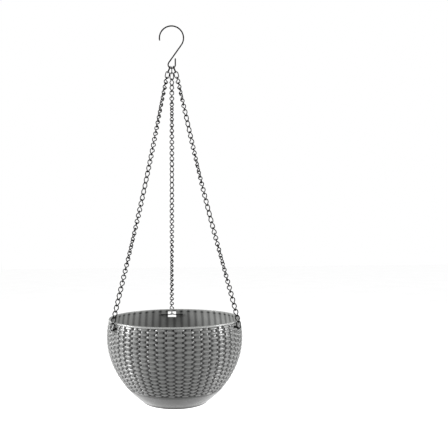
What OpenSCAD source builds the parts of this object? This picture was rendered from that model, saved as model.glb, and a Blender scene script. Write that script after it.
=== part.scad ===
// Hanging basket: a bowl of moulded weave on three chains and one wire hook,
// with a planting liner that stands inside it and a loose cotton wick.
// Origin: inside top of the hook's crown, where it bears on a bar. +Z is up,
// the hook lies in the X-Z plane and the chains spread to the back, left and right.

/* [Hook] */
// Diameter of the hook's wire
hook_wire = 2.5; // [2:0.1:3]
// Radius of the crown, to the middle of the wire
crown_r = 22.8; // [20:0.2:26]
// Radius of the eye at the foot of the hook, to the middle of the wire
eye_r = 6.8; // [6.8:0.1:8]
// Slope of the shank between crown and eye, in degrees from upright
shank_angle = 36; // [33:1:38]
// How far the crown's arc runs past level on the open side, in degrees
crown_tip_angle = 12; // [0:1:30]
// Straight run of the eye's open leg
eye_leg = 12; // [8:0.5:14]

/* [Chains] */
// Links in each chain
chain_links = 46; // [38:1:52]
// Distance from one link to the next
link_pitch = 10.9; // [10.5:0.1:12]
// Diameter of the chain's wire
link_wire = 1.8; // [1.6:0.1:1.8]
// Outside width of a link
link_w = 9.2; // [9:0.1:9.3]
// How far the middle of a chain hangs below its straight line
chain_sag = 4; // [0:0.5:6]
// Where the side chains sit round the eye, in degrees from its lowest point
side_spread = 37; // [36:1:38]
// Turn of the basket under the hook, in degrees
basket_turn = 2.3; // [-5:0.1:5]

/* [Basket] */
// Largest outside diameter of the bowl
bowl_d = 254; // [252:1:260]
// Height from the flat base to the rim
bowl_h = 155; // [150:1:158]
// Depth below the rim at which the bowl is widest
belly_depth = 35; // [33:1:37]
// Thickness of the bowl's wall
wall = 3.2; // [2.8:0.1:3.4]
// Height of the plain band under the rim
rim_band = 3; // [2:0.5:4]
// Depth below the rim at which the flatter lower curve begins
lower_depth = 80; // [76:1:90]
// Radius of the lower curve
lower_r = 160; // [155:1:170]
// Width of the hole for each toggle
hole_w = 18; // [14:0.5:20]
// Height of the hole for each toggle
hole_h = 12.3; // [10:0.1:13]

/* [Toggles] */
// Length of the toggle's cross bar
toggle_bar = 46; // [36:1:46]
// Depth below the rim at which the last link hangs on its toggle
anchor_drop = 12; // [11.6:0.1:12.4]

/* [Liner] */
// Outside diameter of the liner's rim
liner_d = 228; // [216:1:230]
// Depth of the liner, from its rim to its floor
liner_depth = 72; // [60:1:74]
// Diameter of the liner's floor
liner_floor_d = 148; // [146:1:150]
// Thickness of the liner
liner_wall = 1.8; // [1.5:0.1:2.2]
// Depth of the three wells that the liner stands on
well_depth = 18; // [14:1:20]
// Outside diameter of a well at the floor
well_d = 25; // [22:0.5:26]
// Drain slots round the floor
slot_count = 24; // [18:1:26]

/* [Wick] */
// Diameter of the cotton wick
wick_d = 5.5; // [5:0.1:6]

/* [Hidden] */

steel = "#1c1c1d";
pot_grey = "#8c8c86";
liner_black = "#232322";
cotton = "#f2efe8";

wire_fn = 20;
bend_fn = 40;
LEFT = 0;
BACK = 1;
RIGHT = 2;
azimuths = [210 + basket_turn, 90 + basket_turn, 330 + basket_turn];

// The hook, measured from its centres
crown_z = -(crown_r - hook_wire / 2);
shank_len = (crown_r + eye_r) / tan(shank_angle);
eye_z = crown_z - (crown_r + eye_r) / sin(shank_angle);

// The eye's open leg takes in the end of the eye's bend, so that the two are one solid
leg_lap = 0.05;
leg_proud = 0.02;

// One link. Neighbours stay link_gap apart where they bear on each other.
link_gap = 0.3;
link_bend_r = (link_w - link_wire) / 2;
link_inside = link_pitch + link_gap;
link_straight = link_inside / 2 + link_wire / 2 - link_bend_r;

// Where the chains start: on the eye, then one link down
spreads = [-side_spread, 0, side_spread];
side_lean = 22;
leans = [-side_lean, 0, side_lean];
contact_r = eye_r - hook_wire / 2 - link_gap / 2;
function eye_node(k) = [contact_r * sin(spreads[k]), 0, eye_z - contact_r * cos(spreads[k])];
function second_node(k) = eye_node(k) + link_pitch * [sin(leans[k]), 0, -cos(leans[k])];

// Where the chains end: one link hangs straight down beside the rim
anchor_r = 128.3;
run_links = chain_links - 2;
run_drop = sqrt(pow(run_links * link_pitch, 2) - pow(anchor_r, 2));
rim_z = second_node(BACK).z - run_drop - link_pitch + anchor_drop;
function rim_node(k) = [anchor_r * cos(azimuths[k]), anchor_r * sin(azimuths[k]),
                        rim_z - anchor_drop + link_pitch];
function last_node(k) = rim_node(k) - [0, 0, link_pitch];

// Every link crosses its neighbour, and each chain turns slowly on the way down.
// The second links face the way that lets all three lie side by side without touching.
second_sides = [20, 28, 0];
turns = [for (k = [0 : 2]) let (t = second_sides[k] - azimuths[k]) t - 180 * round(t / 180)];
first_run_link = 2;
last_run_link = chain_links - 1;
run_third = floor(run_links / 3);
function link_roll(k, i) =
    90 * (i - last_run_link)
    + turns[k] * (last_run_link - i) / (last_run_link - first_run_link);
function run_node(k, i) =
    let (t = (i - first_run_link) / run_links, a = second_node(k), b = rim_node(k),
         way = unit(b - a), down = [0, 0, -1], below = unit(down - (down * way) * way))
    (1 - t) * a + t * b + chain_sag * pow(4 * t * (1 - t), 2) * below;

// The bowl, measured from the centre of its sphere, which lies on the axis
bowl_r = bowl_d / 2;
belly_z = rim_z - belly_depth;
base_z = rim_z - bowl_h;
foot_end = belly_depth - bowl_h;
lower_angle = asin((belly_depth - lower_depth) / bowl_r);
lower_x = (bowl_r - lower_r) * cos(lower_angle);
lower_y = (bowl_r - lower_r) * sin(lower_angle);
edge = 2;
floor_t = 3;
bowl_floor_z = base_z + floor_t;

// The toggles
bar_r = 117.8;
toggle_z = rim_z - anchor_drop + link_wire / 2 + link_gap / 2;
toggle_bend_r = 2;
loop_r = 3;

// The liner stands on its wells, just clear of the bowl's floor
seat_gap = 0.3;
well_floor_t = 1.6;
liner_foot_z = bowl_floor_z + seat_gap;
liner_floor_z = liner_foot_z + well_floor_t + well_depth;
liner_rim_z = liner_floor_z + liner_depth;
well_ring_r = 32.5;
well_first = 96;
slot_in = 53;
slot_out = 72;
slot_w = 3.4;
lip_w = 2.2;
lip_h = 3;

// The wick's route across the liner's floor, in X and Y, and its height above the floor
wick_route = [
    [15, 11, 0], [9, 18, 0], [-1, 22, 0], [-11, 20, 0], [-18, 12, 0], [-21, 2, 1],
    [-18, -9, 0], [-10, -17, 0], [-1, -18, 0], [5, -12, 0], [5, -3, 0], [-1, 4, 1],
    [-11, 5, 4], [-20, 0, 6], [-27, -8, 3], [-31, -18, 0], [-30, -29, 0], [-23, -38, 0],
    [-15, -44, 0]];
wick_sides = 10;
wick_step = 0.5;

// ---------------------------------------------------------------- placing

function unit(v) = v / norm(v);

// Puts local Z on the line from b up to a, with local X level and across azimuth az
module along(a, b, az, roll = 0) {
    up = unit(a - b);
    level = [-sin(az), cos(az), 0];
    side = unit(level - (level * up) * up);
    deep = cross(up, side);
    mid = (a + b) / 2;
    multmatrix([[side.x, deep.x, up.x, mid.x],
                [side.y, deep.y, up.y, mid.y],
                [side.z, deep.z, up.z, mid.z],
                [0, 0, 0, 1]])
        rotate([0, 0, roll]) children();
}

// ---------------------------------------------------------------- wire

// A bend of wire in the X-Z plane, from angle a0 through sweep
module wire_bend(r, d, a0, sweep) {
    rotate([0, -a0, 0]) rotate([90, 0, 0])
        rotate_extrude(angle = sweep, $fn = bend_fn * 2)
            translate([r, 0]) circle(d = d, $fn = wire_fn);
}

// The rounded end of a wire, pointing up from the X-Y plane
module wire_tip(d) {
    rotate_extrude($fn = wire_fn) intersection() {
        circle(d = d, $fn = wire_fn);
        square(d);
    }
}

// A straight piece of wire, up from the X-Y plane
module wire_rod(d, h) {
    cylinder(d = d, h = h, $fn = wire_fn);
}

module link() {
    for (end = [0, 1]) mirror([0, 0, end]) {
        translate([0, 0, link_straight]) wire_bend(link_bend_r, link_wire, 0, 180);
    }
    for (side = [-1, 1])
        translate([side * link_bend_r, 0, -link_straight])
            wire_rod(link_wire, 2 * link_straight);
}

// ---------------------------------------------------------------- sub-parts

// Drawn along its shank, which then leans over so that crown and eye share the axis
module hook() {
    color(steel) translate([0, 0, crown_z]) rotate([0, shank_angle, 0]) {
        wire_bend(crown_r, hook_wire, 0, 180 + shank_angle + crown_tip_angle);
        translate([crown_r, 0, -shank_len]) wire_rod(hook_wire, shank_len);
        translate([crown_r + eye_r, 0, -shank_len]) {
            wire_bend(eye_r, hook_wire, 180, 180 + shank_angle);
            rotate([0, -shank_angle, 0]) translate([eye_r, 0, -leg_lap])
                wire_rod(hook_wire + leg_proud, eye_leg + leg_lap);
        }
    }
}

// The first link of a chain hangs on the eye, square to its wire
module top_link(k) {
    color(steel) along(eye_node(k), second_node(k), 0) link();
}

// Links i0 to i1 of a chain
module chain_run(k, i0, i1) {
    color(steel) for (i = [i0 : i1])
        along(run_node(k, i), run_node(k, i + 1), azimuths[k], link_roll(k, i)) link();
}

module chain_upper(k) { chain_run(k, first_run_link, run_third + 1); }
module chain_middle(k) { chain_run(k, run_third + 2, 2 * run_third + 2); }
module chain_lower(k) { chain_run(k, 2 * run_third + 3, last_run_link); }

// The last link hangs beside the rim, on the toggle's loop
module end_link(k) {
    color(steel) along(rim_node(k), last_node(k), azimuths[k], 90) link();
}

// A bar of wire inside the wall, with a loop that reaches out through the hole
module toggle(k) {
    leg = anchor_r - bar_r - loop_r - toggle_bend_r;
    half = toggle_bar / 2 - link_wire / 2;
    start = loop_r + toggle_bend_r;
    color(steel) rotate([0, 0, azimuths[k]]) translate([bar_r, 0, toggle_z]) {
        translate([toggle_bend_r + leg, 0, 0]) rotate([-90, 0, 0])
            wire_bend(loop_r, link_wire, -90, 180);
        for (side = [0, 1]) mirror([0, side, 0]) {
            translate([toggle_bend_r, loop_r, 0]) rotate([0, 90, 0])
                wire_rod(link_wire, leg);
            translate([toggle_bend_r, start, 0]) rotate([-90, 0, 0])
                wire_bend(toggle_bend_r, link_wire, 180, 90);
            translate([0, start, 0]) rotate([-90, 0, 0]) {
                wire_rod(link_wire, half - start);
                translate([0, 0, half - start]) wire_tip(link_wire);
            }
        }
    }
}

function arc(r, a0, a1, n, cx = 0, cy = 0) =
    [for (i = [0 : n]) let (a = a0 + (a1 - a0) * i / n) [cx + r * cos(a), cy + r * sin(a)]];

// Half of the bowl's section, from the axis at the floor out and up to the rim.
// The wall is two arcs that run into each other, about centres it shares inside and out.
module bowl_section() {
    inner_r = bowl_r - wall;
    lower_in = lower_r - wall;
    top = belly_depth;
    floor_y = foot_end + floor_t;
    band_r = sqrt(pow(bowl_r, 2) - pow(top - rim_band, 2));
    band_angle = asin((top - rim_band) / bowl_r);
    lip_r = sqrt(pow(inner_r, 2) - pow(top, 2));
    lip_edge = 0.6;
    recess_r = 44;
    recess = 1.2;
    stop = asin((foot_end + edge - lower_y) / lower_r);
    polygon(concat(
        [[0, foot_end + recess], [recess_r, foot_end + recess], [recess_r + recess, foot_end],
         [lower_x + lower_r * cos(stop) - edge, foot_end]],
        arc(lower_r, stop, lower_angle, 10, lower_x, lower_y),
        arc(bowl_r, lower_angle, band_angle, 18),
        [[band_r, top - lip_edge], [band_r - lip_edge, top], [lip_r + lip_edge, top]],
        arc(inner_r, asin(top / inner_r), lower_angle, 18),
        arc(lower_in, lower_angle, asin((floor_y - lower_y) / lower_in), 10, lower_x, lower_y),
        [[0, floor_y]]));
}

// The bowl, with a hole in its wall for each chain's toggle
module outer_pot() {
    color(pot_grey) difference() {
        translate([0, 0, belly_z]) rotate_extrude($fn = 120) bowl_section();
        for (az = azimuths) rotate([0, 0, az])
            translate([bar_r - 5, -hole_w / 2, toggle_z - hole_h / 2])
                cube([20, hole_w, hole_h]);
    }
}

// A cup under the liner's floor, open at the top and slit at the sides
module well_outside() {
    translate([0, 0, liner_foot_z])
        cylinder(d1 = well_d - 1.5, d2 = well_d,
                 h = well_floor_t + well_depth - liner_wall / 2, $fn = 48);
}

module well_inside() {
    slit_h = well_depth - 6;
    translate([0, 0, liner_foot_z + well_floor_t]) {
        cylinder(d1 = well_d - 1.5 - 2 * liner_wall, d2 = well_d - 2 * liner_wall,
                 h = well_depth + 1, $fn = 48);
        for (turn = [0, 90]) rotate([0, 0, turn + 20]) translate([-well_d, -1.5, 2])
            cube([2 * well_d, 3, slit_h]);
    }
}

// Half of the liner's section: floor, sloping wall and turned-out lip
module liner_section() {
    floor_r = liner_floor_d / 2;
    rim_r = liner_d / 2;
    wall_r = rim_r - lip_w;
    polygon([
        [0, -liner_wall], [floor_r - 1, -liner_wall], [floor_r + liner_wall, 2],
        [wall_r, liner_depth - lip_h], [rim_r, liner_depth - lip_h],
        [rim_r, liner_depth - 0.6], [rim_r - 0.6, liner_depth],
        [wall_r - liner_wall + 0.6, liner_depth], [wall_r - liner_wall, liner_depth - 0.8],
        [floor_r, 3], [floor_r - 2, 0], [0, 0]]);
}

module drain_slot() {
    translate([slot_in, -slot_w / 2, liner_floor_z - 2 * liner_wall])
        cube([slot_out - slot_in, slot_w, 3 * liner_wall]);
}

// A short slit low in the liner's wall, to drain it on each side
module wall_slit() {
    translate([liner_floor_d / 2 - 3, -1.2, liner_floor_z + 5]) cube([12, 2.4, 7]);
}

module liner() {
    well_angles = [for (i = [0 : 2]) well_first + 120 * i];
    color(liner_black) difference() {
        union() {
            translate([0, 0, liner_floor_z]) rotate_extrude($fn = 96) liner_section();
            for (a = well_angles) rotate([0, 0, a]) translate([well_ring_r, 0, 0])
                well_outside();
        }
        for (a = well_angles) rotate([0, 0, a]) translate([well_ring_r, 0, 0])
            well_inside();
        for (i = [0 : slot_count - 1]) rotate([0, 0, (i + 0.5) * 360 / slot_count])
            drain_slot();
        for (a = [-22, 202]) rotate([0, 0, a]) wall_slit();
    }
}

// Points of a smooth curve through the route, and the tube swept along them
function smooth(p, i, t) =
    let (n = len(p) - 1, a = p[max(i - 1, 0)], b = p[i], c = p[min(i + 1, n)],
         d = p[min(i + 2, n)])
    0.5 * (2 * b + (c - a) * t + (2 * a - 5 * b + 4 * c - d) * t * t
           + (3 * b - a - 3 * c + d) * t * t * t);

module wick() {
    base = liner_floor_z + wick_d / 2 + 0.2;
    route = [for (p = wick_route) [p.x, p.y, p.z + base]];
    last = len(route) - 1;
    path = concat([for (i = [0 : last - 1], t = [0 : wick_step : 1 - wick_step])
                   smooth(route, i, t)], [route[last]]);
    n = len(path) - 1;
    rings = [for (j = [0 : n])
        let (dir = unit(path[min(j + 1, n)] - path[max(j - 1, 0)]),
             side = unit(cross(dir, [0, 0, 1])), up = cross(side, dir))
        for (s = [0 : wick_sides - 1]) let (a = 360 * s / wick_sides)
            path[j] + wick_d / 2 * (cos(a) * side + sin(a) * up)];
    skin = [for (j = [0 : n - 1], s = [0 : wick_sides - 1])
        let (u = (s + 1) % wick_sides, o = j * wick_sides)
            [o + s, o + wick_sides + s, o + wick_sides + u, o + u]];
    caps = [[for (s = [0 : wick_sides - 1]) s],
            [for (s = [wick_sides - 1 : -1 : 0]) n * wick_sides + s]];
    color(cotton) polyhedron(rings, concat(skin, caps));
}

// ---------------------------------------------------------------- assembly

hook();
top_link(LEFT);  // top_link_left
top_link(BACK);  // top_link_back
top_link(RIGHT);  // top_link_right
chain_upper(LEFT);  // chain_left_upper
chain_middle(LEFT);  // chain_left_middle
chain_lower(LEFT);  // chain_left_lower
end_link(LEFT);  // end_link_left
chain_upper(BACK);  // chain_back_upper
chain_middle(BACK);  // chain_back_middle
chain_lower(BACK);  // chain_back_lower
end_link(BACK);  // end_link_back
chain_upper(RIGHT);  // chain_right_upper
chain_middle(RIGHT);  // chain_right_middle
chain_lower(RIGHT);  // chain_right_lower
end_link(RIGHT);  // end_link_right
toggle(LEFT);  // toggle_left
toggle(BACK);  // toggle_back
toggle(RIGHT);  // toggle_right
outer_pot();
liner();
wick();
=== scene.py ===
import math

import bpy
import numpy as np
from mathutils import Matrix, Vector


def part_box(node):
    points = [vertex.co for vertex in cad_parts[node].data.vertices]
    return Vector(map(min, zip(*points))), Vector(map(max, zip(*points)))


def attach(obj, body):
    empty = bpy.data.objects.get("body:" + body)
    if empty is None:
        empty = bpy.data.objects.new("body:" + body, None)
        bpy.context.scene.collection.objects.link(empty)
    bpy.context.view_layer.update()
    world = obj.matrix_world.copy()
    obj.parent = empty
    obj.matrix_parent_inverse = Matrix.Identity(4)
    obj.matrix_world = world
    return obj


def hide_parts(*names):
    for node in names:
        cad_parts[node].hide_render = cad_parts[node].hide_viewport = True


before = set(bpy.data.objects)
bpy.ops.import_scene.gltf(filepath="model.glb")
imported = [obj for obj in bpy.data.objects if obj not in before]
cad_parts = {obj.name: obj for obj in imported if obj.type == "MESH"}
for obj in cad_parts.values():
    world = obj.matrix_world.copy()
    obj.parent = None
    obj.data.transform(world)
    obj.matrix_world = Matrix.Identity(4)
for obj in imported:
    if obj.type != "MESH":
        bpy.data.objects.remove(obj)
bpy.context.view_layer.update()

# Hanging basket: the finished surfaces, in metres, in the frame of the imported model.
# Heights and radii that the frame holds are read from it. The rest are named here.

MM = 0.001
pot_low, pot_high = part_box("outer_pot")
hook_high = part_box("hook")[1]
toggle_low, toggle_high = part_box("toggle_back")
rim_z = pot_high.z
base_z = pot_low.z

# The hook
HOOK_WIRE = 2.5 * MM
CROWN_R = 22.8 * MM
EYE_R = 6.8 * MM
EYE_LEG = 12 * MM
SHANK_ANGLE = math.radians(36)
CROWN_TIP = math.radians(12)
crown_z = hook_high.z - CROWN_R - HOOK_WIRE / 2
eye_z = crown_z - (CROWN_R + EYE_R) / math.sin(SHANK_ANGLE)

# The chains: how many links each has, a link's sizes, and where the three chains run.
# SPREADS and LEANS are the angles at which the first links touch the eye and hang from it,
# and SECOND_SIDES is how far each second link is rolled to clear its neighbours
SIDES = ["left", "back", "right"]
LINKS = 46
LINK_PITCH = 10.9 * MM
LINK_WIRE = 1.8 * MM
LINK_BEND_R = 3.7 * MM
LINK_STRAIGHT = 2.8 * MM
CHAIN_SAG = 4 * MM
TURN = 2.3
AZIMUTHS = [210 + TURN, 90 + TURN, 330 + TURN]
SPREADS = [-37, 0, 37]
LEANS = [-22, 0, 22]
SECOND_SIDES = [20, 28, 0]
CONTACT_R = 5.4 * MM
# Which way each chain's links are twisted, and how its face turns on the way down: pairs
# of a link's number and the angle from facing the front
HANDS = [1, -1, -1]
FACES = [
    [(3, 65), (7, 90), (22, 180), (32, 270), (42, 350), (46, 347)],
    [(3, -17), (8, 90), (20, 180), (38, 270), (46, 317)],
    [(3, 135), (6, 90), (11, 0), (19, -90), (27, -180), (35, -270), (43, -345), (46, -343)]]
ANCHOR_R = 128.3 * MM
ANCHOR_DROP = 12 * MM
rim_node_z = rim_z - ANCHOR_DROP + LINK_PITCH

# The bowl: two arcs that run into each other, and the weave on them
BOWL_R = 127 * MM
WALL = 3.2 * MM
BELLY = 35 * MM
LOWER_DEPTH = 80 * MM
LOWER_R = 160 * MM
RIM_BAND = 3 * MM
BOWL_H = rim_z - base_z
COLUMNS = 50
ROWS = 32
WEAVE_END = 125 * MM
HOLE_W = 18 * MM
HOLE_H = 12.3 * MM
toggle_z = (toggle_low.z + toggle_high.z) / 2
FLOOR = 3 * MM
# How much more painted shade the foot has than the weave just above it, and the narrow steps at
# the weave's two ends: how much painted shade they have, and how far in they go
FOOT_SHADE = 0.22
STEP_SHADE = 0.8
STEP_IN = 1.3 * MM

# The toggles
BAR_R = 117.8 * MM
BAR_HALF = 23 * MM
TOGGLE_BEND = 2 * MM
LOOP_R = 3 * MM

# The wick's route on the liner's floor: X, Y and the height above where it lies, in mm
WICK_D = 5.5 * MM
WICK_ROUTE = [
    (15, 11, 0), (9, 18, 0), (-1, 22, 0), (-11, 20, 0), (-18, 12, 0), (-21, 2, 1),
    (-18, -9, 0), (-10, -17, 0), (-1, -18, 0), (5, -12, 0), (5, -3, 0), (-1, 4, 1),
    (-11, 5, 4), (-20, 0, 6), (-27, -8, 3), (-31, -18, 0), (-30, -29, 0),
    (-23, -38, 0), (-15, -44, 0)]
wick_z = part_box("wick")[0].z + WICK_D / 2

# The light: how much the surroundings give, the sun, and the soft boxes' width and power
AMBIENT = 0.3
SUN = 3.0
SUN_WIDTH = math.radians(50)
SUN_TILT = math.radians(30)
BOX_WIDTH = 0.45
KEY_POWER = 55
SIDE_POWER = 36


# ---------------------------------------------------------------- camera

def make_camera():
    """A level camera a little above the rim, framed with the basket left of the middle."""
    distance, above_rim = 0.98, 0.139
    roll = math.radians(0.6)
    data = bpy.data.cameras.new("view")
    data.lens = 41.66
    data.sensor_width = 36
    data.shift_x = 0.1125
    data.shift_y = 0.0438
    camera = bpy.data.objects.new("view", data)
    bpy.context.scene.collection.objects.link(camera)
    camera.matrix_world = (Matrix.Translation((0, -distance, rim_z + above_rim))
                           @ Matrix.Rotation(math.pi / 2, 4, "X")
                           @ Matrix.Rotation(-roll, 4, "Z"))
    bpy.context.scene.camera = camera


# ---------------------------------------------------------------- mesh helpers

def new_piece(name, points, faces, material, body, nodes):
    """A smooth-shaded mesh that rides on a body and stands for CAD nodes."""
    mesh = bpy.data.meshes.new(name)
    mesh.from_pydata([tuple(p) for p in points], [], faces)
    mesh.validate()
    mesh.polygons.foreach_set("use_smooth", [True] * len(mesh.polygons))
    mesh.materials.append(material)
    piece = bpy.data.objects.new(name, mesh)
    bpy.context.scene.collection.objects.link(piece)
    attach(piece, body)
    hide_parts(*nodes)
    return piece


def smooth_step(t):
    t = np.clip(t, 0, 1)
    return t * t * (3 - 2 * t)


def frames_along(path, closed):
    """Unit tangents of a path, and a pair of side directions that never spin about it."""
    path = np.asarray(path, float)
    if closed:
        tangent = np.roll(path, -1, 0) - np.roll(path, 1, 0)
    else:
        tangent = np.gradient(path, axis=0)
    tangent /= np.linalg.norm(tangent, axis=1)[:, None]
    any_way = (0.31, 0.83, 0.47)
    start = np.cross(tangent[0], any_way)
    side = [start / np.linalg.norm(start)]
    for t in tangent[1:]:
        s = side[-1] - t * (side[-1] @ t)
        side.append(s / np.linalg.norm(s))
    side = np.array(side)
    return tangent, side, np.cross(tangent, side)


def closed_tube(path, radius, sides):
    """Points and faces of a tube round a closed path."""
    tangent, side, deep = frames_along(path, True)
    twist = math.atan2(side[0] @ np.cross(tangent[0], side[-1]), side[0] @ side[-1])
    count = len(path)
    points, faces = [], []
    for i in range(count):
        for j in range(sides):
            a = 2 * math.pi * j / sides + twist * i / count
            out = side[i] * math.cos(a) + deep[i] * math.sin(a)
            points.append(np.asarray(path[i]) + radius * out)
    for i in range(count):
        for j in range(sides):
            k, m = (i + 1) % count, (j + 1) % sides
            faces.append((i * sides + j, i * sides + m, k * sides + m, k * sides + j))
    return points, faces


def open_tube(path, radius_at, sides):
    """Points and faces of a tube whose radius is radius_at(ring, angle), capped at its ends."""
    tangent, side, deep = frames_along(path, False)
    points, faces = [], []
    count = len(path)
    for i in range(count):
        for j in range(sides):
            a = 2 * math.pi * j / sides
            out = side[i] * math.cos(a) + deep[i] * math.sin(a)
            points.append(np.asarray(path[i]) + radius_at(i, a) * out)
    for i in range(count - 1):
        for j in range(sides):
            m = (j + 1) % sides
            faces.append((i * sides + j, i * sides + m,
                          (i + 1) * sides + m, (i + 1) * sides + j))
    for ring, order in ((0, -1), (count - 1, 1)):
        centre = len(points)
        points.append(np.asarray(path[ring]))
        for j in range(sides):
            a, b = ring * sides + j, ring * sides + (j + 1) % sides
            faces.append((centre, a, b) if order > 0 else (centre, b, a))
    return points, faces


def rounded_ends(path, radius, rings=5):
    """Adds rings at both ends of a path, so that a wire's cut ends are domed.
    Returns the new path and each ring's radius."""
    blunt, near, far = 0.06, 1.1 * radius, 3 * radius
    path = [np.asarray(p, float) for p in path]
    first = (path[1] - path[0]) / np.linalg.norm(path[1] - path[0])
    last = (path[-1] - path[-2]) / np.linalg.norm(path[-1] - path[-2])
    angles = [math.pi / 2 * (k + 1) / rings for k in range(rings)]
    head = [path[0] + first * radius * (1 - math.sin(math.pi / 2 - a)) for a in angles]
    tail = [path[-1] - last * radius * (1 - math.cos(a)) for a in angles]
    radii = [radius * max(blunt, math.sin(a)) for a in angles]

    def clear(p, end, inward):
        return (p - end) @ inward > near or np.linalg.norm(p - end) > far

    keep = [p for p in path[1:-1] if clear(p, path[0], first) and clear(p, path[-1], -last)]
    return head + keep + tail[::-1], radii + [radius] * len(keep) + radii[::-1]


def catmull_rom(points, steps):
    """A smooth curve through the points, with steps stretches from one to the next."""
    points = np.asarray(points, float)
    last = len(points) - 1
    curve = []
    for i in range(last):
        a, b = points[max(i - 1, 0)], points[i]
        c, d = points[i + 1], points[min(i + 2, last)]
        for k in range(steps):
            t = k / steps
            curve.append(0.5 * (2 * b + (c - a) * t + (2 * a - 5 * b + 4 * c - d) * t * t
                                + (3 * b - a - 3 * c + d) * t ** 3))
    curve.append(points[last])
    return np.array(curve)


# ---------------------------------------------------------------- materials

def new_material(name, roughness):
    material = bpy.data.materials.new(name)
    material.use_nodes = True
    nodes = material.node_tree.nodes
    shader = nodes["Principled BSDF"]
    shader.inputs["Roughness"].default_value = roughness
    return material, nodes, material.node_tree.links, shader


def noise(nodes, links, scale, detail, stretch=(1, 1, 1)):
    """Noise in the object's own coordinates."""
    place = nodes.new("ShaderNodeTexCoord")
    mapping = nodes.new("ShaderNodeMapping")
    mapping.inputs["Scale"].default_value = stretch
    texture = nodes.new("ShaderNodeTexNoise")
    texture.inputs["Scale"].default_value = scale
    texture.inputs["Detail"].default_value = detail
    links.new(place.outputs["Object"], mapping.inputs["Vector"])
    links.new(mapping.outputs["Vector"], texture.inputs["Vector"])
    return texture.outputs["Fac"]


def ramp(nodes, links, factor, stops):
    """A colour ramp: stops are (position, colour)."""
    node = nodes.new("ShaderNodeValToRGB")
    while len(node.color_ramp.elements) < len(stops):
        node.color_ramp.elements.new(0.5)
    for element, (position, colour) in zip(node.color_ramp.elements, stops):
        element.position = position
        element.color = (*colour, 1)
    links.new(factor, node.inputs["Fac"])
    return node.outputs["Color"]


def grey(value):
    return (value, value, value)


def mix(nodes, links, blend, factor, a, b):
    node = nodes.new("ShaderNodeMix")
    node.data_type = "RGBA"
    node.blend_type = blend
    if isinstance(factor, float):
        node.inputs["Factor"].default_value = factor
    else:
        links.new(factor, node.inputs["Factor"])
    links.new(a, node.inputs["A"])
    links.new(b, node.inputs["B"])
    return node.outputs["Result"]


def bump(nodes, links, height, shader, strength, distance):
    node = nodes.new("ShaderNodeBump")
    node.inputs["Strength"].default_value = strength
    node.inputs["Distance"].default_value = distance
    links.new(height, node.inputs["Height"])
    links.new(node.outputs["Normal"], shader.inputs["Normal"])


def attribute(nodes, name):
    node = nodes.new("ShaderNodeAttribute")
    node.attribute_name = name
    return node.outputs["Fac"]


def steel_material():
    """Black coating over steel wire: satin, mottled, a little brighter where it is worn."""
    material, nodes, links, shader = new_material("black_steel", 0.42)
    mottle = noise(nodes, links, scale=260, detail=4)
    coat = ramp(nodes, links, mottle, [(0.35, (0.001, 0.001, 0.001)),
                                       (0.70, (0.004, 0.004, 0.004))])
    scuffs = noise(nodes, links, scale=700, detail=2)
    bare = ramp(nodes, links, scuffs, [(0.68, grey(0.0)), (0.80, (0.012, 0.012, 0.013))])
    links.new(mix(nodes, links, "ADD", 1.0, coat, bare), shader.inputs["Base Color"])
    links.new(ramp(nodes, links, mottle, [(0.3, grey(0.34)), (0.75, grey(0.52))]),
              shader.inputs["Roughness"])
    grain = noise(nodes, links, scale=1500, detail=3)
    bump(nodes, links, grain, shader, strength=0.25, distance=0.1 * MM)
    shader.inputs["Specular IOR Level"].default_value = 0.03
    return material


def pot_material():
    """Grey satin plastic with painted shade down in the weave, and fine lines along the
    strands.
    """
    material, nodes, links, shader = new_material("woven_plastic", 0.45)
    cloud = ramp(nodes, links, noise(nodes, links, scale=9, detail=3),
                 [(0.3, (0.195, 0.198, 0.194)), (0.7, (0.235, 0.238, 0.232))])
    fleck = ramp(nodes, links, noise(nodes, links, scale=420, detail=3, stretch=(1, 1, 2.5)),
                 [(0.3, grey(0.90)), (0.7, grey(1.0))])
    body = mix(nodes, links, "MULTIPLY", 1.0, cloud, fleck)
    # Painted shade: the stored shade darkens the colour in the weave's pits, the inside's
    # grooves, the steps and towards the foot
    deep = ramp(nodes, links, attribute(nodes, "recess"),
                [(0.0, grey(0.86)), (0.22, grey(0.50)), (0.55, grey(0.29)), (0.75, grey(0.12)),
                 (0.95, grey(0.01))])
    links.new(mix(nodes, links, "MULTIPLY", 1.0, body, deep), shader.inputs["Base Color"])
    links.new(ramp(nodes, links, noise(nodes, links, scale=55, detail=4),
                   [(0.3, grey(0.24)), (0.7, grey(0.34))]), shader.inputs["Roughness"])
    lines = noise(nodes, links, scale=900, detail=3, stretch=(1, 1, 5))
    bump(nodes, links, lines, shader, strength=0.22, distance=0.2 * MM)
    shader.inputs["Specular IOR Level"].default_value = 0.32
    return material


def liner_material():
    """Matt black plastic with a fine moulded grain, a little uneven in tone."""
    material, nodes, links, shader = new_material("liner_plastic", 0.5)
    cloud = ramp(nodes, links, noise(nodes, links, scale=25, detail=4),
                 [(0.3, (0.010, 0.0095, 0.008)), (0.75, (0.022, 0.021, 0.018))])
    links.new(cloud, shader.inputs["Base Color"])
    links.new(ramp(nodes, links, noise(nodes, links, scale=140, detail=3),
                   [(0.3, grey(0.40)), (0.7, grey(0.58))]), shader.inputs["Roughness"])
    grain = noise(nodes, links, scale=1800, detail=2)
    bump(nodes, links, grain, shader, strength=0.35, distance=0.1 * MM)
    return material


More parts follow.
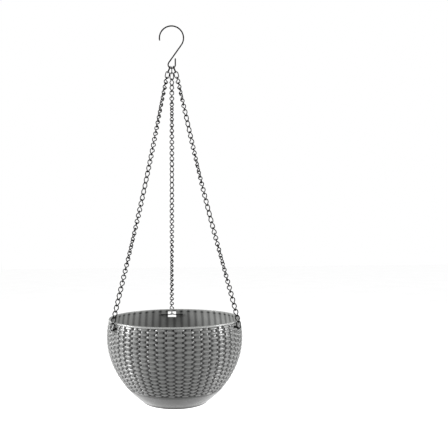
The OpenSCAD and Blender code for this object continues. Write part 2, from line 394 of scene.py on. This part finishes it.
def cotton_material():
    """White cotton: fine fibres along the strands, and painted shade that greys it slightly in
    the furrows.
    """
    material, nodes, links, shader = new_material("cotton", 0.85)
    fibre = noise(nodes, links, scale=1400, detail=4, stretch=(1, 1, 0.6))
    pale = ramp(nodes, links, fibre, [(0.3, (0.70, 0.68, 0.63)), (0.7, (0.86, 0.85, 0.81))])
    # Painted shade: the stored shade greys the cotton in the furrows between the strands
    furrow = ramp(nodes, links, attribute(nodes, "recess"),
                  [(0.2, grey(1.0)), (1.0, grey(0.55))])
    links.new(mix(nodes, links, "MULTIPLY", 1.0, pale, furrow), shader.inputs["Base Color"])
    bump(nodes, links, fibre, shader, strength=0.6, distance=0.3 * MM)
    shader.inputs["Sheen Weight"].default_value = 0.4
    return material


def floor_material():
    material, nodes, links, shader = new_material("floor_pale", 0.9)
    links.new(ramp(nodes, links, noise(nodes, links, scale=3, detail=2),
                   [(0.3, grey(0.90)), (0.7, grey(0.92))]), shader.inputs["Base Color"])
    return material


# ---------------------------------------------------------------- wick

def make_wick(material):
    """A rope of three strands laid round each other, cut square at both ends."""
    sides, steps = 24, 12
    strands, lay_length = 3, 14 * MM
    furrow_depth, furrow_power = 0.22, 1.6
    fray, fray_length = 0.12, 1.2 * MM
    route = [(x * MM, y * MM, wick_z + z * MM) for x, y, z in WICK_ROUTE]
    path = catmull_rom(route, steps)
    gaps = np.linalg.norm(np.diff(path, axis=0), axis=1)
    run = np.concatenate([[0], np.cumsum(gaps)])

    def lobe(i, a):
        """1 on the middle of a strand, 0 in the furrow between two."""
        return abs(math.sin(strands / 2 * (a + 2 * math.pi * run[i] / lay_length)))

    def radius(i, a):
        end = min(run[i], run[-1] - run[i])
        frayed = 1 - fray * math.exp(-end / fray_length)
        furrow = furrow_depth * (1 - lobe(i, a)) ** furrow_power
        return WICK_D / 2 * (1 - furrow) * frayed

    points, faces = open_tube(path, radius, sides)
    wick = new_piece("wick_rope", points, faces, material, "liner", ["wick"])
    # The furrows between the strands are stored as painted shade for the cotton's colour
    recess = wick.data.attributes.new("recess", "FLOAT", "POINT")
    depth = [1 - lobe(i // sides, 2 * math.pi * (i % sides) / sides)
             for i in range(len(path) * sides)]
    recess.data.foreach_set("value", depth + [0.0] * (len(points) - len(depth)))


# ---------------------------------------------------------------- hook

def lean(x, z):
    """From the shank's own X-Z plane to the row frame."""
    c, s = math.cos(SHANK_ANGLE), math.sin(SHANK_ANGLE)
    return (x * c + z * s, 0, crown_z - x * s + z * c)


def make_hook(material):
    """One wire: the crown, the slanting shank, then the eye and its open leg."""
    sides, arc_steps, shank_steps, leg_steps = 20, 48, 12, 8
    shank = (CROWN_R + EYE_R) / math.tan(SHANK_ANGLE)
    sweep = math.pi + SHANK_ANGLE + CROWN_TIP
    path = []
    for i in range(arc_steps + 1):
        a = sweep * (1 - i / arc_steps)
        path.append(lean(CROWN_R * math.cos(a), CROWN_R * math.sin(a)))
    for i in range(1, shank_steps):
        path.append(lean(CROWN_R, -shank * i / shank_steps))
    for i in range(arc_steps + 1):
        a = math.pi + (math.pi + SHANK_ANGLE) * i / arc_steps
        path.append(lean(CROWN_R + EYE_R + EYE_R * math.cos(a),
                         -shank + EYE_R * math.sin(a)))
    for i in range(1, leg_steps + 1):
        path.append((EYE_R, 0, eye_z + EYE_LEG * i / leg_steps))
    path, radii = rounded_ends(path, HOOK_WIRE / 2)
    points, faces = open_tube(path, lambda i, a: radii[i], sides)
    new_piece("hook_wire", points, faces, material, "hook", ["hook"])


# ---------------------------------------------------------------- chains

def unit(v):
    return v / np.linalg.norm(v)


def eye_node(k):
    a = math.radians(SPREADS[k])
    return np.array([CONTACT_R * math.sin(a), 0, eye_z - CONTACT_R * math.cos(a)])


def second_node(k):
    a = math.radians(LEANS[k])
    return eye_node(k) + LINK_PITCH * np.array([math.sin(a), 0, -math.cos(a)])


def rim_node(k):
    a = math.radians(AZIMUTHS[k])
    return np.array([ANCHOR_R * math.cos(a), ANCHOR_R * math.sin(a), rim_node_z])


def run_node(k, i):
    """Top of link i: on the straight line to the rim, less the chain's sag."""
    t = (i - 2) / (LINKS - 2)
    way = unit(rim_node(k) - second_node(k))
    down = np.array([0, 0, -1])
    below = unit(down - (down @ way) * way)
    return ((1 - t) * second_node(k) + t * rim_node(k)
            + CHAIN_SAG * (4 * t * (1 - t)) ** 2 * below)


def nearest(turn, wanted):
    """The same turn, give or take half turns, nearest to the wanted one."""
    return turn + 180 * round((wanted - turn) / 180)


def link_turn(k, i):
    """Roll of link i's top end. A link's two ends are a quarter turn apart, less what the
    chain's face turns by, and the ends of the run cross their neighbours squarely."""
    links, faces = zip(*FACES[k])
    faces = list(faces)
    front = 90 - AZIMUTHS[k] + 45 * HANDS[k]
    faces[0] = nearest(SECOND_SIDES[k] - AZIMUTHS[k] + 180 - front, faces[0])
    faces[-1] = nearest(90 - front, faces[-1])
    return front + float(np.interp(i, links, faces))


def link_path(top_roll, bottom_roll, count=40):
    """A link's centre line along local Z: an oval, twisted between its two ends."""
    path = []
    for n in range(count):
        a = 2 * math.pi * (n + 0.5) / count
        x = LINK_BEND_R * math.cos(a)
        z = LINK_BEND_R * math.sin(a) + math.copysign(LINK_STRAIGHT, math.sin(a))
        path.append((x, z))
    path = np.array(path)
    twisted = []
    # The twist is in the link's sides, and runs a little way into its bends
    twist_half = 0.9 * (LINK_STRAIGHT + 0.15 * LINK_BEND_R)
    for x, z in even_spacing(path, count):
        t = float(smooth_step(0.5 + z / (2 * twist_half)))
        roll = math.radians(bottom_roll + (top_roll - bottom_roll) * t)
        twisted.append((x * math.cos(roll), x * math.sin(roll), z))
    return np.array(twisted)


def even_spacing(path, count):
    """The same closed path with its points equally far apart."""
    closed = np.vstack([path, path[:1]])
    run = np.concatenate([[0], np.cumsum(np.linalg.norm(np.diff(closed, axis=0), axis=1))])
    at = np.linspace(0, run[-1], count, endpoint=False)
    return np.column_stack([np.interp(at, run, closed[:, c]) for c in range(closed.shape[1])])


def place_link(a, b, azimuth, top_roll, bottom_roll):
    """A link's path with its ends at b, below, and a, above."""
    up = unit(a - b)
    level = np.array([-math.sin(azimuth), math.cos(azimuth), 0])
    side = unit(level - (level @ up) * up)
    deep = np.cross(up, side)
    basis = np.column_stack([side, deep, up])
    return link_path(top_roll, bottom_roll) @ basis.T + (a + b) / 2


def chain_link(k, i):
    """Link i of chain k. The first two and the last keep both ends in one plane."""
    azimuth = math.radians(AZIMUTHS[k])
    if i == 1:
        return place_link(eye_node(k), second_node(k), 0, 0, 0)
    if i == LINKS:
        foot = rim_node(k) - np.array([0, 0, LINK_PITCH])
        return place_link(rim_node(k), foot, azimuth, 90, 90)
    ends = run_node(k, i), run_node(k, i + 1)
    if i == 2:
        turn = SECOND_SIDES[k] - AZIMUTHS[k] + 90
        return place_link(*ends, azimuth, turn, turn)
    top, next_top = link_turn(k, i), link_turn(k, i + 1)
    return place_link(*ends, azimuth, top, next_top - 90 * HANDS[k])


def make_links(name, k, first, last, body, node, material):
    sides = 10
    points, faces = [], []
    for i in range(first, last + 1):
        some, quads = closed_tube(chain_link(k, i), LINK_WIRE / 2, sides)
        base = len(points)
        points += some
        faces += [tuple(base + v for v in quad) for quad in quads]
    new_piece(name, points, faces, material, body, [node])


def make_chains(material):
    third = (LINKS - 2) // 3
    runs = {"upper": (2, third + 1), "middle": (third + 2, 2 * third + 2),
            "lower": (2 * third + 3, LINKS - 1)}
    for k, side in enumerate(SIDES):
        make_links(f"first_link_{side}", k, 1, 1, "top_links", f"top_link_{side}", material)
        for part, (first, last) in runs.items():
            make_links(f"links_{side}_{part}", k, first, last, "cradle",
                       f"chain_{side}_{part}", material)
        make_links(f"last_link_{side}", k, LINKS, LINKS, "cradle", f"end_link_{side}",
                   material)


# ---------------------------------------------------------------- toggles

def bend(cx, cy, r, start, end, steps=8):
    """Points of a bend in the toggle's own X-Y plane, angles in degrees."""
    angles = [math.radians(start + (end - start) * i / steps) for i in range(steps + 1)]
    return [(cx + r * math.cos(a), cy + r * math.sin(a)) for a in angles]


def make_toggles(material):
    """Each is one wire: half the bar, out round the loop, and back to the other half."""
    sides, bar_steps, loop_steps = 14, 12, 16
    leg_end = ANCHOR_R - BAR_R - LOOP_R
    start = LOOP_R + TOGGLE_BEND
    half = [(0, BAR_HALF - (BAR_HALF - start) * i / bar_steps) for i in range(bar_steps)]
    half += bend(TOGGLE_BEND, start, TOGGLE_BEND, 180, 270)
    outline = half + bend(leg_end, 0, LOOP_R, 90, -90, loop_steps)
    outline += [(x, -y) for x, y in reversed(half)]
    for k, side in enumerate(SIDES):
        a = math.radians(AZIMUTHS[k])
        c, s = math.cos(a), math.sin(a)
        path = [((BAR_R + x) * c - y * s, (BAR_R + x) * s + y * c, toggle_z)
                for x, y in outline]
        path, radii = rounded_ends(path, LINK_WIRE / 2)
        points, faces = open_tube(path, lambda i, a: radii[i], sides)
        new_piece(f"toggle_wire_{side}", points, faces, material, "cradle",
                  [f"toggle_{side}"])


# ---------------------------------------------------------------- bowl

def wall_radius(depth, inset):
    """Radius of the bowl at some depth below the rim, inset from its outer surface."""
    up = BELLY - depth
    corner = math.asin((BELLY - LOWER_DEPTH) / BOWL_R)
    lower_x = (BOWL_R - LOWER_R) * math.cos(corner)
    lower_y = (BOWL_R - LOWER_R) * math.sin(corner)
    if up > BELLY - LOWER_DEPTH:
        return math.sqrt((BOWL_R - inset) ** 2 - up ** 2)
    return lower_x + math.sqrt((LOWER_R - inset) ** 2 - (up - lower_y) ** 2)


def weave_height(column, row):
    """Height of the woven surface below its crests, for arrays of column and row numbers.
    Strand j lies over stake i where i + j is even, and dips under it where it is odd."""
    # Widths are in columns, from the middle of the stake
    stake_half, stake_drop, stake_round = 0.285, 0.85 * MM, 0.4
    edge_inset, edge_width = 0.05, 0.07
    crossing, crossing_width = 0.34, 0.32
    under_drop, floor_drop = 2.3 * MM, 2.4 * MM
    crown_drop, crown_power = 0.85 * MM, 4
    i = np.round(column)
    x = column - i
    # A strand runs high over its stake, and crosses to the other level in the gap. It is a
    # little wider than its row, so the strands above and below close in on its dips
    across = 1 - 2 * smooth_step((np.abs(x) - crossing) / crossing_width)
    strand = np.full(np.shape(x), -floor_drop)
    for j in (np.floor(row) - 1, np.floor(row), np.floor(row) + 1):
        v = row - j - 0.5
        over = np.where((i + j) % 2 == 0, 1.0, -1.0)
        level = -under_drop * (1 - over * across) / 2
        strand = np.maximum(strand, level - crown_drop * (2 * np.abs(v)) ** crown_power)
    edge = smooth_step((np.abs(x) - stake_half + edge_inset) / edge_width)
    stake_top = -stake_drop * (1 + stake_round * (x / stake_half) ** 2)
    return np.maximum(strand, stake_top * (1 - edge) - floor_drop * edge)


def shade_at(depth):
    """How much painted shade the outer surface has at some depth: a little more towards the
    foot.
    """
    at_rim, more_at_foot = 0.22, 0.28
    return at_rim + more_at_foot * depth / BOWL_H


def bowl_rows():
    """The rows of the outer grid: each one's depth below the rim, and its place in the weave
    counted in strands. All strands are equally high along the bowl's surface."""
    within = [0.02, 0.12, 0.26, 0.42, 0.58, 0.74, 0.88, 0.98]
    step = 0.25 * MM
    arc = [0.0]
    depth = [RIM_BAND]
    while depth[-1] < WEAVE_END:
        d = depth[-1] + step
        slope = wall_radius(d, 0) - wall_radius(depth[-1], 0)
        arc.append(arc[-1] + math.hypot(step, slope))
        depth.append(d)
    return [(float(np.interp((j + v) / ROWS * arc[-1], arc, depth)), j + v)
            for j in range(ROWS) for v in within]


def bowl_columns():
    """Angles round the bowl, in columns of the weave, closer together at the stakes' edges."""
    half = [0.0, 0.12, 0.21, 0.26, 0.295, 0.33, 0.40]
    within = [-x for x in reversed(half[1:])] + half + [0.5]
    return [i + x for i in range(COLUMNS) for x in within]


# The bowl's rings come in four runs. Each ring is its radius, its height and how much painted
# shade it has


def underside_rings():
    """From the middle of the underside, out over the foot and up to the weave."""
    recess_r, recess_rise, edge = 44 * MM, 1.2 * MM, 2 * MM
    foot_r = wall_radius(BOWL_H - edge, 0)
    # The foot carries painted shade, more than the weave just above it
    shade = shade_at(BOWL_H) + FOOT_SHADE
    profile = [(r, recess_rise) for r in (4 * MM, 20 * MM, 36 * MM, recess_r - 0.4 * MM)]
    profile += [(recess_r + 0.3 * MM, 0.9 * MM), (recess_r + recess_rise, 0),
                ((foot_r + recess_r) / 2, 0), (foot_r - edge, 0),
                (foot_r - 0.9 * MM, 0.35 * MM), (foot_r - 0.2 * MM, 1.1 * MM)]
    rings = [(r, base_z + rise, shade) for r, rise in profile]
    # The plain band, and the narrow step in where the weave ends, both with painted shade
    start, lead, steps = BOWL_H - edge, 0.8 * MM, 6
    for n in range(steps + 1):
        d = start - (start - WEAVE_END - lead) * n / steps
        rings.append((wall_radius(d, 0), rim_z - d, shade))
    for gap, inset, dark in ((0.4 * MM, 0.3 * MM, 0.3), (0.1 * MM, STEP_IN, STEP_SHADE)):
        rings.append((wall_radius(WEAVE_END + gap, inset), rim_z - WEAVE_END - gap, dark))
    return rings


def woven_rings(columns, woven):
    """Up the weave, with the surface lowered squarely to the bowl's wall."""
    pit_shade, pit_depth = 0.68, 2.15 * MM
    rings = []
    for depth, place in reversed(woven):
        height = weave_height(columns, np.full(len(columns), place))
        slope = (wall_radius(depth + MM, 0) - wall_radius(depth - MM, 0)) / (2 * MM)
        tilt = 1 / math.hypot(1, slope)
        # The third value is painted shade: darker the deeper a point lies in the weave, and
        # darker lower down the bowl
        rings.append((wall_radius(depth, 0) + height * tilt,
                      rim_z - depth + height * slope * tilt,
                      np.clip(shade_at(depth) - pit_shade * height / pit_depth, 0, 1)))
    return rings


def rim_rings():
    """A low half-round bead over the rim's band, then the flat lip."""
    proud, bead_steps = 0.7 * MM, 8
    half, gap = RIM_BAND / 2, 0.05 * MM
    band_r = wall_radius(RIM_BAND, 0.3 * MM)
    lip_r = wall_radius(0, WALL)
    rings = [(wall_radius(RIM_BAND, STEP_IN), rim_z - RIM_BAND - 0.1 * MM, STEP_SHADE)]
    for n in range(bead_steps + 1):
        a = -math.pi / 2 + math.pi * n / bead_steps
        rings.append((band_r + proud * math.cos(a),
                      rim_z - half + (half - gap) * math.sin(a), 0))
    rings += [(band_r - 0.5 * MM, rim_z, 0), (lip_r + 0.6 * MM, rim_z, 0)]
    rings += [(lip_r + 0.2 * MM, rim_z - 0.2 * MM, 0), (lip_r + 0.05 * MM, rim_z - 0.6 * MM, 0)]
    return rings


def inside_rings(woven, rows, groove):
    """Down the inside to the middle of the floor. Shallow grooves between the stakes leave
    ribs. They fade out at the rim and the floor, are darkened with painted shade, and each has
    a dark spot below the rim."""
    cut, shade = 0.4 * MM, 0.35
    fade_start, fade_length = 2.5 * MM, 2 * MM
    spot_depth, spot_half = 5 * MM, 0.9 * MM
    rings = []
    for n in rows:
        d = woven[n][0]
        fade = smooth_step((d - fade_start) / fade_length)
        spot = np.exp(-((d - spot_depth) / spot_half) ** 2) * groove
        rings.append((wall_radius(d, WALL) + cut * groove * fade, rim_z - d,
                      np.clip(shade * groove * fade + spot, 0, 1)))
    low_cut, low_shade, steps = 0.3 * MM, 0.5, 5
    floor_depth = BOWL_H - FLOOR
    for n in range(1, steps):
        d = WEAVE_END + (floor_depth - WEAVE_END) * n / steps
        fade = 1 - n / steps
        rings.append((wall_radius(d, WALL) + low_cut * groove * fade, rim_z - d,
                      low_shade * groove * fade))
    floor_r, floor_z = wall_radius(floor_depth, WALL), rim_z - floor_depth
    rings += [(floor_r, floor_z + 0.4 * MM, 0), (floor_r - 1.2 * MM, floor_z, 0)]
    rings += [(r, floor_z, 0) for r in (45 * MM, 30 * MM, 15 * MM, 4 * MM)]
    return rings


def make_bowl(material):
    """The bowl is one grid of rings: the underside, the weave, the rim and the inside."""
    columns = np.array(bowl_columns())
    groove_half = 0.19
    groove = np.exp(-((np.abs(columns - np.round(columns)) - 0.5) / groove_half) ** 2)
    woven = bowl_rows()
    hole_depths = rim_z - toggle_z - HOLE_H / 2, rim_z - toggle_z + HOLE_H / 2
    # The inside has the weave's rows too: all beside the toggles' holes, one in eight elsewhere
    rows = [n for n, (d, _) in enumerate(woven)
            if hole_depths[0] - MM < d < hole_depths[1] + MM or n % 8 == 4]
    outside = underside_rings() + woven_rings(columns, woven)
    rim = rim_rings()
    rings = outside + rim + inside_rings(woven, rows, groove)
    build_bowl(rings, 2 * math.pi * columns / COLUMNS, woven, len(outside) - 1,
               len(outside) + len(rim), rows, hole_depths, material)


def build_bowl(rings, angle, woven, outer_last, inner_first, inner_rows, hole_depths,
               material):
    """Joins the rings, leaves the toggles' holes open and walls them through."""
    count, total = len(angle), len(rings)
    middle_shade = 0.1

    def grid(value):
        return np.array([np.broadcast_to(np.asarray(ring[value], float), (count,))
                         for ring in rings])

    radius, height, shade = grid(0), grid(1), grid(2)
    turn = np.tile(angle, (total, 1))

    def outer_ring(n):
        return outer_last - n

    def inner_ring(n):
        return inner_first + inner_rows.index(n)

    depths = np.array([d for d, _ in woven])
    top, end = (int(np.argmin(abs(depths - d))) for d in hole_depths)
    cut, walls = set(), []
    for azimuth in AZIMUTHS:
        half = math.asin(HOLE_W / 2 / BOWL_R)
        low, high = math.radians(azimuth) - half, math.radians(azimuth) + half
        first = int(np.argmin(abs(angle - low % (2 * math.pi))))
        last = int(np.argmin(abs(angle - high % (2 * math.pi))))
        for n in range(top, end + 1):
            for rows in (outer_ring(n), inner_ring(n)):
                turn[rows, first], turn[rows, last] = low, high
        for n, z in ((top, hole_depths[0]), (end, hole_depths[1])):
            for rows in (outer_ring(n), inner_ring(n)):
                height[rows, first:last + 1] = rim_z - z
        for c in range(first, last):
            for n in range(top, end):
                cut.add((outer_ring(n + 1), c))
                cut.add((inner_ring(n), c))
            walls.append(((outer_ring(top), c), (inner_ring(top), c),
                          (inner_ring(top), c + 1), (outer_ring(top), c + 1)))
            walls.append(((outer_ring(end), c), (outer_ring(end), c + 1),
                          (inner_ring(end), c + 1), (inner_ring(end), c)))
        for n in range(top, end):
            walls.append(((outer_ring(n), first), (outer_ring(n + 1), first),
                          (inner_ring(n + 1), first), (inner_ring(n), first)))
            walls.append(((outer_ring(n), last), (inner_ring(n), last),
                          (inner_ring(n + 1), last), (outer_ring(n + 1), last)))
    points = np.stack([radius * np.cos(turn), radius * np.sin(turn), height], -1)
    points = list(points.reshape(-1, 3))
    faces = []
    for r in range(total - 1):
        for c in range(count):
            if (r, c) not in cut:
                d = (c + 1) % count
                faces.append((r * count + c, r * count + d,
                              (r + 1) * count + d, (r + 1) * count + c))
    faces += [tuple(r * count + c for r, c in wall) for wall in walls]
    for r, order in ((0, -1), (total - 1, 1)):
        centre = len(points)
        points.append(np.array([0, 0, height[r, 0]]))
        for c in range(count):
            a, b = r * count + c, r * count + (c + 1) % count
            faces.append((centre, a, b) if order > 0 else (centre, b, a))
    bowl = new_piece("woven_bowl", points, faces, material, "cradle",
                     ["outer_pot"])
    # The rings' painted shade is stored on the points for the plastic's colour
    recess = bowl.data.attributes.new("recess", "FLOAT", "POINT")
    recess.data.foreach_set("value", np.concatenate([shade.ravel(), [middle_shade] * 2]))


# ---------------------------------------------------------------- liner

def finish_liner(material):
    """The liner is the frame's own node in a better material."""
    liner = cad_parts["liner"]
    liner.data.materials.clear()
    liner.data.materials.append(material)


# ---------------------------------------------------------------- surroundings

def make_floor():
    """A pale floor, well below the hanging bowl."""
    size, drop = 12, 0.30
    corners = [(-size, -size), (size, -size), (size, size), (-size, size)]
    mesh = bpy.data.meshes.new("floor")
    mesh.from_pydata([(x, y, base_z - drop) for x, y in corners], [], [(0, 1, 2, 3)])
    mesh.materials.append(floor_material())
    floor = bpy.data.objects.new("floor", mesh)
    bpy.context.scene.collection.objects.link(floor)


def area_light(name, place, target, size, power):
    data = bpy.data.lights.new(name, "AREA")
    data.size = size
    data.energy = power
    light = bpy.data.objects.new(name, data)
    light.location = place
    aim = Vector(target) - Vector(place)
    light.rotation_euler = aim.to_track_quat("-Z", "Y").to_euler()
    bpy.context.scene.collection.objects.link(light)


def make_world():
    """A white backdrop for the camera, which lights the basket only a little."""
    world = bpy.data.worlds.new("studio")
    world.use_nodes = True
    nodes, links = world.node_tree.nodes, world.node_tree.links
    backdrop = nodes["Background"]
    backdrop.inputs["Color"].default_value = (1, 1, 1, 1)
    ambient = nodes.new("ShaderNodeBackground")
    ambient.inputs["Color"].default_value = (1, 1, 1, 1)
    ambient.inputs["Strength"].default_value = AMBIENT
    path = nodes.new("ShaderNodeLightPath")
    choose = nodes.new("ShaderNodeMixShader")
    links.new(path.outputs["Is Camera Ray"], choose.inputs["Fac"])
    links.new(ambient.outputs["Background"], choose.inputs[1])
    links.new(backdrop.outputs["Background"], choose.inputs[2])
    links.new(choose.outputs["Shader"], nodes["World Output"].inputs["Surface"])
    bpy.context.scene.world = world


def make_light():
    """A soft sun from above the camera, and a soft box on either side of the basket."""
    make_world()
    bpy.context.scene.view_settings.view_transform = "Standard"
    data = bpy.data.lights.new("sun", "SUN")
    data.energy = SUN
    data.angle = SUN_WIDTH
    sun = bpy.data.objects.new("sun", data)
    sun.rotation_euler = (SUN_TILT, 0, 0)
    bpy.context.scene.collection.objects.link(sun)
    middle = (0, 0, rim_z - BELLY)
    area_light("key", (-1.5, -0.15, rim_z + 0.35), middle, BOX_WIDTH, KEY_POWER)
    area_light("side", (1.5, -0.25, rim_z + 0.25), middle, BOX_WIDTH, SIDE_POWER)


# ---------------------------------------------------------------- making

make_camera()
make_wick(cotton_material())
steel = steel_material()
make_hook(steel)
make_chains(steel)
make_toggles(steel)
make_bowl(pot_material())
finish_liner(liner_material())
make_floor()
make_light()
